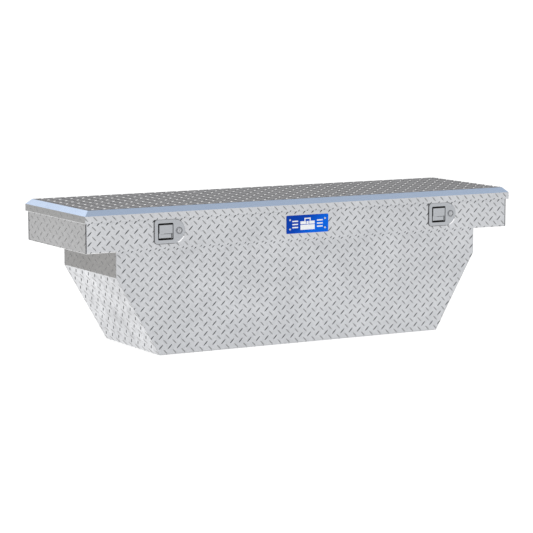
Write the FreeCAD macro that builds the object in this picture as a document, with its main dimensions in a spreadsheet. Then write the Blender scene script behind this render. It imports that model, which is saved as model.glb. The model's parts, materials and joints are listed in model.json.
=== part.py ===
import FreeCAD, Part
import os
import re
import Sketcher

# Crossover truck tool box, built as sheet panels, a hinged lid, two paddle latches and two gas struts.
# Millimetres. X runs along the box, the front faces -Y, Z is up, and the floor's underside is at Z = 0.

doc = FreeCAD.newDocument("truck_tool_box")
sheet = doc.addObject("Spreadsheet::Sheet", "Sizes")

DRIVING = [
    # overall
    ("lid_length", "1778 mm", "length over the lid"),
    ("lid_depth", "512 mm", "depth over the lid, front to back"),
    ("overall_height", "531 mm", "floor underside to lid top"),
    ("sheet_t", "1.6 mm", "tread plate sheet thickness"),
    # lid
    ("lid_bevel", "18.5 mm", "width and height of the lid's 45 degree bevel"),
    ("lid_skirt", "24.5 mm", "height of the lid's upright skirt"),
    ("pan_t", "1.2 mm", "inner pan sheet thickness"),
    ("pan_up", "7 mm", "height of the pan's turned-up edge"),
    ("seal_w", "10 mm", "width of the rubber seal"),
    ("seal_gap", "0.3 mm", "gap left under the seal"),
    # tub
    ("band_inset", "7 mm", "lid overhang at each end of the upper band"),
    ("band_recess", "11.5 mm", "lid overhang in front of and behind the upper band"),
    ("rim_drop", "28 mm", "lid top down to the rim"),
    ("ledge_drop", "149 mm", "lid top down to the wings' underside"),
    ("knee_drop", "245 mm", "lid top down to where the ends begin to slope"),
    ("wing_reach", "128 mm", "how far each wing stands out past the lower tub"),
    ("slope_run", "167 mm", "how far each end slopes in towards the floor"),
    ("band_step", "27.5 mm", "how far the upper band stands out past the lower tub"),
    ("lip_w", "25 mm", "width of the inward lip round the rim"),
    ("bolt_d", "11 mm", "bed rail bolt hole"),
    ("bolt_out", "64 mm", "bolt hole in from the wing's outer face"),
    ("bolt_apart", "300 mm", "distance between a wing's two bolt holes"),
    # hinge
    ("knuckle", "50.8 mm", "length of one hinge knuckle with its gap"),
    ("knuckle_gap", "0.4 mm", "gap between neighbouring knuckles"),
    ("barrel_d", "7.9 mm", "outside diameter of the knuckles"),
    ("pin_d", "4.8 mm", "hinge pin diameter"),
    ("leaf_t", "1.5 mm", "hinge leaf thickness"),
    ("leaf_w", "35 mm", "reach of the body leaf below the pin"),
    ("hinge_drop", "41 mm", "lid top down to the hinge pin"),
    ("running", "0.05 mm", "radial running clearance of pins and rods"),
    # latches
    ("paddle_x", "575 mm", "middle of each paddle from the middle of the box"),
    ("latch_drop", "88 mm", "lid top down to the middle of the latches"),
    ("dish_h", "86 mm", "height of the latch plate"),
    ("dish_left", "44 mm", "latch plate reach to the left of the paddle's middle"),
    ("dish_arc", "33 mm", "centre of the latch plate's round end"),
    ("dish_t", "1.8 mm", "latch plate thickness"),
    ("gasket_t", "1 mm", "gasket thickness"),
    ("cup_w", "60 mm", "width inside the cup"),
    ("cup_h", "59 mm", "height inside the cup"),
    ("cup_deep", "20 mm", "cup floor's back face behind the panel face"),
    ("cup_t", "1.5 mm", "cup wall thickness"),
    ("paddle_t", "2 mm", "paddle plate thickness"),
    ("paddle_pin_d", "4 mm", "paddle pin diameter"),
    ("tail_angle", "18.2 deg", "paddle tail above level when at rest"),
    ("tail_long", "27 mm", "paddle tail length from its pin"),
    ("claw_pin_d", "6 mm", "claw pin diameter"),
    ("lobe_reach", "31.7 mm", "claw lobe from the claw pin"),
    ("lobe_angle", "156.4 deg", "direction of the claw lobe when at rest"),
    ("striker_d", "6 mm", "striker rod diameter"),
    ("striker_half", "20 mm", "half the width of the striker"),
    ("lock_x", "53 mm", "lock cylinder from the paddle's middle"),
    ("plug_d", "13 mm", "lock plug diameter"),
    ("cam_reach", "37 mm", "lock cam length"),
    # badge
    ("badge_w", "176 mm", "badge plate width"),
    ("badge_h", "66 mm", "badge plate height"),
    ("badge_x", "3 mm", "middle of the badge from the middle of the box"),
    ("badge_drop", "92 mm", "lid top down to the middle of the badge"),
    # gas struts
    ("strut_x", "835 mm", "plane of each gas strut"),
    ("low_in", "40 mm", "lower strut pin in front of the hinge pin"),
    ("low_down", "90 mm", "lower strut pin below the hinge pin"),
    ("top_in", "200 mm", "upper strut stud in front of the hinge pin"),
    ("top_up", "8 mm", "upper strut stud above the hinge pin"),
    ("tube_d", "18 mm", "strut tube outside diameter"),
    ("tube_bore", "15 mm", "strut tube bore"),
    ("rod_d", "8 mm", "strut rod diameter"),
    ("tube_end", "166 mm", "end of the strut tube from its pin"),
    ("rod_long", "140 mm", "strut rod from its eye to its piston face"),
    ("stud_d", "8 mm", "strut pin diameter"),
]

DERIVED = [
    ("end_x", "lid_length / 2"),
    ("side_y", "lid_depth / 2"),
    ("bevel_z", "overall_height - lid_bevel"),
    ("skirt_z", "bevel_z - lid_skirt"),
    ("corner_cut", "sheet_t * tan(22.5 deg)"),
    ("rim_z", "overall_height - rim_drop"),
    ("ledge_z", "overall_height - ledge_drop"),
    ("knee_z", "overall_height - knee_drop"),
    ("band_x", "end_x - band_inset"),
    ("band_y", "side_y - band_recess"),
    ("tub_x", "band_x - wing_reach"),
    ("tub_y", "band_y - band_step"),
    ("floor_x", "tub_x - slope_run"),
    ("slope_t", "sheet_t * sqrt(slope_run ^ 2 + knee_z ^ 2) / knee_z"),
    ("slope_in_z", "(tub_x - sheet_t - floor_x + slope_t) * knee_z / slope_run"),
    ("floor_in_x", "floor_x - slope_t"),
    ("floor_top_x", "floor_in_x + sheet_t * slope_run / knee_z"),
    ("pan_z", "rim_z + 4 mm"),
    ("pan_x", "end_x - 6 mm"),
    ("pan_y", "side_y - 6 mm"),
    ("hinge_y", "side_y - 6.55 mm"),
    ("hinge_z", "overall_height - hinge_drop"),
    ("bays", "2 * floor((band_x - 30 mm) / (2 * knuckle)) * 2 + 1"),
    ("hinge_x", "bays * knuckle / 2"),
    ("latch_z", "overall_height - latch_drop"),
    ("dish_back", "-band_y - gasket_t"),
    ("dish_front", "dish_back - dish_t"),
    ("cup_back", "-band_y + cup_deep"),
    ("paddle_y", "-band_y + 5.5 mm"),
    ("paddle_z", "latch_z + 20 mm"),
    ("claw_y", "-band_y + 58.5 mm"),
    ("claw_z", "latch_z + 7 mm"),
    ("striker_y", "claw_y + 6 mm"),
    ("striker_z", "claw_z + 28 mm"),
    ("lock_z", "latch_z + 1 mm"),
    ("badge_z", "overall_height - badge_drop"),
    ("low_y", "hinge_y - low_in"),
    ("low_z", "hinge_z - low_down"),
    ("top_y", "hinge_y - top_in"),
    ("top_z", "hinge_z + top_up"),
    ("strut_rest", "sqrt((top_y - low_y) ^ 2 + (top_z - low_z) ^ 2)"),
    ("strut_tilt", "90 deg - atan((top_z - low_z) / (low_y - top_y))"),
    ("piston_z", "strut_rest - rod_long"),
]

row = 0
for alias, amount, note in DRIVING:
    row += 1
    sheet.set("A%d" % row, note)
    sheet.set("B%d" % row, "=" + amount)
    sheet.setAlias("B%d" % row, alias)
for alias, formula in DERIVED:
    row += 1
    sheet.set("A%d" % row, alias.replace("_", " "))
    sheet.set("B%d" % row, "=" + formula)
    sheet.setAlias("B%d" % row, alias)
doc.recompute()

ALIASES = {alias for alias, _, _ in DRIVING} | {alias for alias, _ in DERIVED}
probe = doc.addObject("Spreadsheet::Sheet", "Probe")


def linked(formula):
    """The formula with every size named as a cell of the Sizes sheet."""
    return re.sub("[a-z][a-z_]*", lambda m: "Sizes." + m[0] if m[0] in ALIASES else m[0], formula)


def number(formula):
    """What a formula comes to now, worked out in a cell nothing else uses."""
    probe.set("A1", "=" + linked(formula))
    probe.recompute()
    got = probe.get("A1")
    return float(getattr(got, "Value", got))


def bind(thing, path, formula):
    thing.setExpression(path, linked(formula))


def new_body(name):
    made = doc.addObject("PartDesign::Body", name)
    made.Label = name
    return made


def plane_of(body, axes):
    wanted = {"XY": "XY_Plane", "XZ": "XZ_Plane", "YZ": "YZ_Plane"}[axes]
    return [f for f in body.Origin.OriginFeatures if f.Role == wanted][0]


def axis_of(body, letter):
    return [f for f in body.Origin.OriginFeatures if f.Role == letter + "_Axis"][0]


def sketch(body, axes, start, loops):
    """A sketch on an origin plane moved to start; a loop is a list of corners or one (x, y, diameter)."""
    sk = body.newObject("Sketcher::SketchObject", body.Name + "_sketch")
    sk.AttachmentSupport = [(plane_of(body, axes), "")]
    sk.MapMode = "FlatFace"
    sign = "-1 * " if axes == "XZ" else ""
    bind(sk, "AttachmentOffset.Base.z", sign + "(" + start + ")")
    count = 0
    for loop in loops:
        if isinstance(loop, tuple):
            centre = FreeCAD.Vector(number(loop[0]), number(loop[1]), 0)
            sk.addGeometry(Part.Circle(centre, FreeCAD.Vector(0, 0, 1), number(loop[2]) / 2), False)
            fixed = [("DistanceX", count, 3, loop[0]), ("DistanceY", count, 3, loop[1])]
            which = sk.addConstraint(Sketcher.Constraint("Diameter", count, number(loop[2])))
            bind(sk, "Constraints[%d]" % which, loop[2])
            count += 1
        else:
            corners = [FreeCAD.Vector(number(x), number(y), 0) for x, y in loop]
            many = len(corners)
            for i in range(many):
                sk.addGeometry(Part.LineSegment(corners[i], corners[(i + 1) % many]), False)
            for i in range(many):
                joined = Sketcher.Constraint("Coincident", count + i, 2, count + (i + 1) % many, 1)
                sk.addConstraint(joined)
            fixed = []
            for i in range(many):
                fixed.append(("DistanceX", count + i, 1, loop[i][0]))
                fixed.append(("DistanceY", count + i, 1, loop[i][1]))
            count += many
        for kind, line, point, formula in fixed:
            held = Sketcher.Constraint(kind, -1, 1, line, point, number(formula))
            which = sk.addConstraint(held)
            bind(sk, "Constraints[%d]" % which, formula)
    return sk


def pad(body, axes, low, high, loops, taper=0):
    """Add material between low and high, measured along the axis square to the plane."""
    feature = body.newObject("PartDesign::Pad", body.Name + "_pad")
    feature.Profile = sketch(body, axes, low, loops)
    bind(feature, "Length", "(" + high + ") - (" + low + ")")
    feature.Reversed = axes == "XZ"
    feature.TaperAngle = taper
    body.Tip = feature
    doc.recompute()
    return feature


def pocket(body, axes, low, high, loops):
    """Remove material between low and high, measured along the axis square to the plane."""
    feature = body.newObject("PartDesign::Pocket", body.Name + "_pocket")
    feature.Profile = sketch(body, axes, low, loops)
    bind(feature, "Length", "(" + high + ") - (" + low + ")")
    feature.Reversed = axes != "XZ"
    body.Tip = feature
    doc.recompute()
    return feature


def pattern(body, originals, letter, length, occurrences):
    feature = body.newObject("PartDesign::LinearPattern", body.Name + "_row")
    feature.Originals = originals
    feature.Direction = (axis_of(body, letter), [""])
    bind(feature, "Length", length)
    bind(feature, "Occurrences", occurrences)
    body.Tip = feature
    doc.recompute()
    return feature


def soften(body, radius, wanted):
    """Round the edges of the body's last feature that wanted() picks."""
    tip = body.Tip
    names = ["Edge%d" % (i + 1) for i, e in enumerate(tip.Shape.Edges) if wanted(e)]
    feature = body.newObject("PartDesign::Fillet", body.Name + "_fillet")
    feature.Base = (tip, names)
    feature.Radius = radius
    body.Tip = feature
    doc.recompute()
    return feature


def flat_at_y(value):
    return lambda e: abs(e.BoundBox.YMin - value) < 1e-4 and abs(e.BoundBox.YMax - value) < 1e-4


def runs_along_y(low, high, half_x, z_low, z_high):
    """Edges parallel to Y that lie inside a box of X and Z."""

    def test(e):
        b = e.BoundBox
        if b.XLength > 1e-4 or b.ZLength > 1e-4 or b.YLength < 0.5:
            return False
        if b.YMin < low - 1e-4 or b.YMax > high + 1e-4:
            return False
        return abs(b.XMin) < half_x and z_low < b.ZMin < z_high

    return test


def box_loop(x_low, x_high, y_low, y_high):
    return [(x_low, y_low), (x_high, y_low), (x_high, y_high), (x_low, y_high)]


def minus(formula):
    return "-(" + formula + ")"


nodes = []


def keep(body):
    nodes.append(body)
    return body


SIDES = (("left", "-"), ("right", ""))


def to_side(sign, near, far):
    """Low and high X of a slab between near and far from the middle, on one side."""
    if sign:
        return minus(far), minus(near)
    return near, far


# ---------------------------------------------------------------- tub panels

def upper_panel(name, front):
    """Upper band panel: upright sheet with an inward lip at the rim and a ledge flange below."""
    flip = minus if front else (lambda text: text)
    part = new_body(name)
    outer = flip("band_y")
    inner = flip("band_y - sheet_t")
    lip = flip("band_y - lip_w")
    ledge = flip("tub_y - sheet_t")
    outline = [
        (ledge, "ledge_z"), (outer, "ledge_z"), (outer, "rim_z"), (lip, "rim_z"),
        (lip, "rim_z - sheet_t"), (inner, "rim_z - sheet_t"),
        (inner, "ledge_z + sheet_t"), (ledge, "ledge_z + sheet_t"),
    ]
    pad(part, "YZ", "-band_x", "band_x", [outline])
    y_low, y_high = ("-band_y + sheet_t", "-tub_y + 4 mm") if front else ("tub_y - 4 mm", "band_y - sheet_t")
    wing = "tub_x"
    gaps = [
        box_loop("-band_x - 1 mm", minus(wing), y_low, y_high),
        box_loop(wing, "band_x + 1 mm", y_low, y_high),
    ]
    pocket(part, "XY", "ledge_z - 1 mm", "ledge_z + sheet_t + 1 mm", gaps)
    if front:
        y_low, y_high = "-band_y + sheet_t", "-band_y + 40 mm"
    else:
        y_low, y_high = "band_y - 40 mm", "band_y - sheet_t"
    ends = [
        box_loop("-band_x - 1 mm", "-band_x + sheet_t", y_low, y_high),
        box_loop("band_x - sheet_t", "band_x + 1 mm", y_low, y_high),
    ]
    pocket(part, "XY", "rim_z - sheet_t - 1 mm", "rim_z + 1 mm", ends)
    return keep(part)


front_panel = upper_panel("upper_front_panel", True)
cups = []
round_holes = []
for middle in ("-paddle_x", "paddle_x"):
    cups.append(box_loop(
        middle + " - cup_w / 2 - 2.5 mm", middle + " + cup_w / 2 + 2.5 mm",
        "latch_z - cup_h / 2 - 2.5 mm", "latch_z + cup_h / 2 + 2.5 mm"))
    round_holes.append((middle + " + lock_x", "lock_z", "20 mm"))
    for across in ("-38 mm", "+ 40 mm"):
        for up in ("-34 mm", "+ 34 mm"):
            round_holes.append((middle + " " + across, "latch_z " + up, "5 mm"))
for across in ("-73.5 mm", "+ 73.5 mm"):
    for up in ("-17 mm", "+ 17 mm"):
        round_holes.append(("badge_x " + across, "badge_z " + up, "4 mm"))
pocket(front_panel, "XZ", "-band_y - 1 mm", "-band_y + sheet_t + 1 mm", cups + round_holes)

back_panel = upper_panel("upper_back_panel", False)
first = pocket(back_panel, "XZ", "band_y - sheet_t - 1 mm", "band_y + 1 mm",
               [("-hinge_x + knuckle / 2", "hinge_z - 22 mm", "4 mm")])
pattern(back_panel, [first], "X", "(bays - 1) * knuckle", "(bays + 1) / 2")

for side, sign in SIDES:
    flip = minus if sign else (lambda text: text)
    part = new_body(side + "_wing_end")
    profile = [
        ("tub_x", "ledge_z"), ("band_x", "ledge_z"), ("band_x", "rim_z"),
        ("band_x - lip_w", "rim_z"), ("band_x - lip_w", "rim_z - sheet_t"),
        ("band_x - sheet_t", "rim_z - sheet_t"), ("band_x - sheet_t", "ledge_z + sheet_t"),
        ("tub_x", "ledge_z + sheet_t"),
    ]
    pad(part, "XZ", "-band_y + sheet_t", "band_y - sheet_t", [[(flip(x), z) for x, z in profile]])
    low, high = to_side(sign, "band_x - lip_w - 1 mm", "band_x - sheet_t")
    corners = [
        box_loop(low, high, "-band_y", "-band_y + lip_w"),
        box_loop(low, high, "band_y - lip_w", "band_y"),
    ]
    pocket(part, "XY", "rim_z - sheet_t - 1 mm", "rim_z + 1 mm", corners)
    bolts = [(flip("band_x - bolt_out"), away + "bolt_apart / 2", "bolt_d") for away in ("-", "")]
    pocket(part, "XY", "ledge_z - 1 mm", "ledge_z + sheet_t + 1 mm", bolts)
    keep(part)

for name, low, high in (
        ("lower_front_panel", "-tub_y", "-tub_y + sheet_t"),
        ("lower_back_panel", "tub_y - sheet_t", "tub_y")):
    part = new_body(name)
    outline = [
        ("-floor_x", "0 mm"), ("floor_x", "0 mm"), ("tub_x", "knee_z"), ("tub_x", "ledge_z"),
        ("-tub_x", "ledge_z"), ("-tub_x", "knee_z"),
    ]
    pad(part, "XZ", low, high, [outline])
    keep(part)

for side, sign in SIDES:
    flip = minus if sign else (lambda text: text)
    part = new_body(side + "_end_panel")
    profile = [
        ("floor_x", "0 mm"), ("tub_x", "knee_z"), ("tub_x", "ledge_z + sheet_t"),
        ("tub_x - sheet_t", "ledge_z + sheet_t"), ("tub_x - sheet_t", "slope_in_z"), ("floor_in_x", "0 mm"),
    ]
    pad(part, "XZ", "-tub_y + sheet_t", "tub_y - sheet_t", [[(flip(x), z) for x, z in profile]])
    keep(part)

floor = new_body("floor_panel")
pad(floor, "XZ", "-tub_y + sheet_t", "tub_y - sheet_t", [[
    ("-floor_in_x", "0 mm"), ("floor_in_x", "0 mm"),
    ("floor_top_x", "sheet_t"), ("-floor_top_x", "sheet_t")]])
keep(floor)

# ---------------------------------------------------------------- lid

top = new_body("lid_top_panel")
pad(top, "XY", "overall_height - sheet_t", "overall_height", [
    box_loop("-end_x + lid_bevel + corner_cut", "end_x - lid_bevel - corner_cut",
             "-side_y + lid_bevel + corner_cut", "side_y - lid_bevel - corner_cut")], 22.5)
keep(top)

BEVEL = [("0 mm", "bevel_z"), ("lid_bevel", "overall_height"),
         ("lid_bevel + corner_cut", "overall_height - sheet_t"), ("sheet_t", "bevel_z - corner_cut")]
SKIRT = [("0 mm", "skirt_z"), ("0 mm", "bevel_z"),
         ("sheet_t", "bevel_z - corner_cut"), ("sheet_t", "skirt_z")]
MITRE = "lid_bevel + 4 mm"


def lid_strip(name, profile, where):
    """A straight strip round the lid, both ends mitred; the profile is measured in from the outer face."""
    part = new_body(name)
    along_x = where in ("front", "back")
    flip = (lambda text: text) if where in ("back", "right") else minus
    half = "side_y" if along_x else "end_x"
    length = "end_x" if along_x else "side_y"
    outline = [(flip(half + " - (" + depth + ")"), z) for depth, z in profile]
    pad(part, "YZ" if along_x else "XZ", "-" + length, length, [outline])
    cuts = []
    for end in (minus, lambda text: text):
        triangle = [
            (end(length + " + 1 mm"), flip(half + " + 1 mm")),
            (end(length + " + 1 mm"), flip(half + " - (" + MITRE + ")")),
            (end(length + " - (" + MITRE + ")"), flip(half + " - (" + MITRE + ")")),
        ]
        cuts.append(triangle if along_x else [(b, a) for a, b in triangle])
    pocket(part, "XY", "skirt_z - 1 mm", "overall_height + 1 mm", cuts)
    return keep(part)


for where in ("front", "back", "left", "right"):
    lid_strip("lid_bevel_" + where, BEVEL, where)
for where in ("front", "back", "left", "right"):
    strip = lid_strip("lid_skirt_" + where, SKIRT, where)
    if where == "back":
        first = pocket(strip, "XZ", "side_y - sheet_t - 1 mm", "side_y + 1 mm",
                       [("-hinge_x + knuckle * 1.5", "hinge_z + 12 mm", "4 mm")])
        pattern(strip, [first], "X", "(bays - 3) * knuckle", "(bays - 1) / 2")

pan = new_body("lid_inner_pan")
pad(pan, "XY", "pan_z", "pan_z + pan_t + pan_up", [box_loop("-pan_x", "pan_x", "-pan_y", "pan_y")])
pocket(pan, "XY", "pan_z + pan_t", "pan_z + pan_t + pan_up + 1 mm", [
    box_loop("-pan_x + pan_t", "pan_x - pan_t", "-pan_y + pan_t", "pan_y - pan_t")])
keep(pan)

ribs = new_body("lid_stiffeners")
rib = pad(ribs, "XZ", "-side_y + 32 mm", "side_y - 32 mm", [[
    ("-420 mm", "pan_z + pan_t"), ("-380 mm", "pan_z + pan_t"), ("-380 mm", "overall_height - 2 * sheet_t"),
    ("-365 mm", "overall_height - 2 * sheet_t"), ("-365 mm", "overall_height - sheet_t"),
    ("-380 mm - sheet_t", "overall_height - sheet_t"), ("-380 mm - sheet_t", "pan_z + pan_t + sheet_t"),
    ("-420 mm + sheet_t", "pan_z + pan_t + sheet_t"), ("-420 mm + sheet_t", "overall_height - sheet_t"),
    ("-435 mm", "overall_height - sheet_t"), ("-435 mm", "overall_height - 2 * sheet_t"),
    ("-420 mm", "overall_height - 2 * sheet_t")]])
pattern(ribs, [rib], "X", "800 mm", "3")
keep(ribs)

seal = new_body("lid_seal")
seal_x = "band_x - 3 mm"
seal_y = "band_y - 3.5 mm"
pad(seal, "XY", "rim_z + seal_gap", "pan_z", [
    box_loop(minus(seal_x), seal_x, minus(seal_y), seal_y),
    box_loop(minus(seal_x + " - seal_w"), seal_x + " - seal_w",
             minus(seal_y + " - seal_w"), seal_y + " - seal_w")])
keep(seal)

# ---------------------------------------------------------------- piano hinge

def hinge_leaf(name, strip, first_gap, gaps, cut):
    part = new_body(name)
    pad(part, "YZ", "-hinge_x", "hinge_x", [("hinge_y", "hinge_z", "barrel_d")])
    pad(part, "YZ", "-hinge_x", "hinge_x", [strip])
    pocket(part, "YZ", "-hinge_x - 1 mm", "hinge_x + 1 mm", [("hinge_y", "hinge_z", "pin_d + 2 * running")])
    low = first_gap + " - knuckle_gap / 2"
    high = first_gap + " + knuckle + knuckle_gap / 2"
    first = pocket(part, "YZ", low, high, [cut])
    pattern(part, [first], "X", "(" + gaps + " - 1) * 2 * knuckle", gaps)
    return part


leaf = hinge_leaf(
    "hinge_body_leaf",
    box_loop("band_y", "band_y + leaf_t", "hinge_z - leaf_w", "hinge_z"),
    "-hinge_x + knuckle", "(bays - 1) / 2",
    box_loop("band_y - 1 mm", "hinge_y + barrel_d", "hinge_z - barrel_d / 2 - 1 mm", "hinge_z + barrel_d"))
first = pocket(leaf, "XZ", "band_y - 1 mm", "band_y + leaf_t + 1 mm",
               [("-hinge_x + knuckle / 2", "hinge_z - 22 mm", "4 mm")])
pattern(leaf, [first], "X", "(bays - 1) * knuckle", "(bays + 1) / 2")
keep(leaf)

leaf = hinge_leaf(
    "hinge_lid_leaf",
    box_loop("side_y - sheet_t - leaf_t", "side_y - sheet_t", "hinge_z", "hinge_z + 17 mm"),
    "-hinge_x", "(bays + 1) / 2",
    box_loop("hinge_y - barrel_d", "side_y", "hinge_z - barrel_d", "hinge_z + barrel_d / 2 + 1 mm"))
first = pocket(leaf, "XZ", "side_y - sheet_t - leaf_t - 1 mm", "side_y",
               [("-hinge_x + knuckle * 1.5", "hinge_z + 12 mm", "4 mm")])
pattern(leaf, [first], "X", "(bays - 3) * knuckle", "(bays - 1) / 2")
keep(leaf)

pin = new_body("hinge_pin")
pad(pin, "YZ", "-hinge_x - 3 mm", "hinge_x + 3 mm", [("hinge_y", "hinge_z", "pin_d")])
keep(pin)


def rivet_row(name, x, z, stack_low, stack_high, head_out, length, many):
    """Rivets along X through a stack; each has a shank, an inside head and, if asked, an outside head."""
    part = new_body(name)
    made = [pad(part, "XZ", stack_low, stack_high, [(x, z, "4 mm")])]
    if head_out:
        made.append(pad(part, "XZ", stack_high, stack_high + " + 1.3 mm", [(x, z, "8 mm")], -30))
    made.append(pad(part, "XZ", stack_low + " - 1.2 mm", stack_low, [(x, z, "6.5 mm")]))
    pattern(part, made, "X", length, many)
    return keep(part)


rivet_row("hinge_body_rivets", "-hinge_x + knuckle / 2", "hinge_z - 22 mm",
          "band_y - sheet_t", "band_y + leaf_t",
          True, "(bays - 1) * knuckle", "(bays + 1) / 2")
rivet_row("hinge_lid_rivets", "-hinge_x + knuckle * 1.5", "hinge_z + 12 mm", "side_y - sheet_t - leaf_t",
          "side_y", False, "(bays - 3) * knuckle", "(bays - 1) / 2")

# ---------------------------------------------------------------- badge

badge = new_body("badge_plate")
pad(badge, "XZ", "-band_y - 1.2 mm", "-band_y", [
    box_loop("badge_x - badge_w / 2", "badge_x + badge_w / 2",
             "badge_z - badge_h / 2", "badge_z + badge_h / 2")])
soften(badge, 4, lambda e: e.BoundBox.XLength < 1e-4 and e.BoundBox.ZLength < 1e-4)
heads = []
for across in ("-73.5 mm", "+ 73.5 mm"):
    for up in ("-17 mm", "+ 17 mm"):
        heads.append(("badge_x " + across, "badge_z " + up))
pocket(badge, "XZ", "-band_y - 2 mm", "-band_y + 1 mm", [(x, z, "4 mm") for x, z in heads])
keep(badge)

rivets = new_body("badge_rivets")
pad(rivets, "XZ", "-band_y - 1.2 mm", "-band_y + sheet_t", [(x, z, "4 mm") for x, z in heads])
pad(rivets, "XZ", "-band_y + sheet_t", "-band_y + sheet_t + 1.2 mm", [(x, z, "6.5 mm") for x, z in heads])
pad(rivets, "XZ", "-band_y - 2.4 mm", "-band_y - 1.2 mm", [(x, z, "7.5 mm") for x, z in heads])
soften(rivets, 1, flat_at_y(number("-band_y - 2.4 mm")))
keep(rivets)

# ---------------------------------------------------------------- latches, drawn round the paddle's middle

def latch_part(name):
    side = name.split("_")[0]
    part = new_body(name)
    bind(part, "Placement.Base.x", "-paddle_x" if side == "left" else "paddle_x")
    return part


def dish_outline(part, low, high, less):
    """The latch plate's outline, straight on the left and round on the right, drawn in by less."""
    pad(part, "XZ", low, high, [box_loop(
        "-dish_left + " + less, "dish_arc",
        "latch_z - dish_h / 2 + " + less, "latch_z + dish_h / 2 - " + less)])
    pad(part, "XZ", low, high, [("dish_arc", "latch_z", "dish_h - 2 * " + less)])


CUP_OUT = box_loop("-cup_w / 2 - cup_t", "cup_w / 2 + cup_t",
                   "latch_z - cup_h / 2 - cup_t", "latch_z + cup_h / 2 + cup_t")
CUP_IN = box_loop("-cup_w / 2", "cup_w / 2", "latch_z - cup_h / 2", "latch_z + cup_h / 2")
CORNER = 12.0
STUDS = [("-38 mm", "latch_z - 34 mm"), ("-38 mm", "latch_z + 34 mm"),
         ("40 mm", "latch_z - 34 mm"), ("40 mm", "latch_z + 34 mm")]

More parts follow.
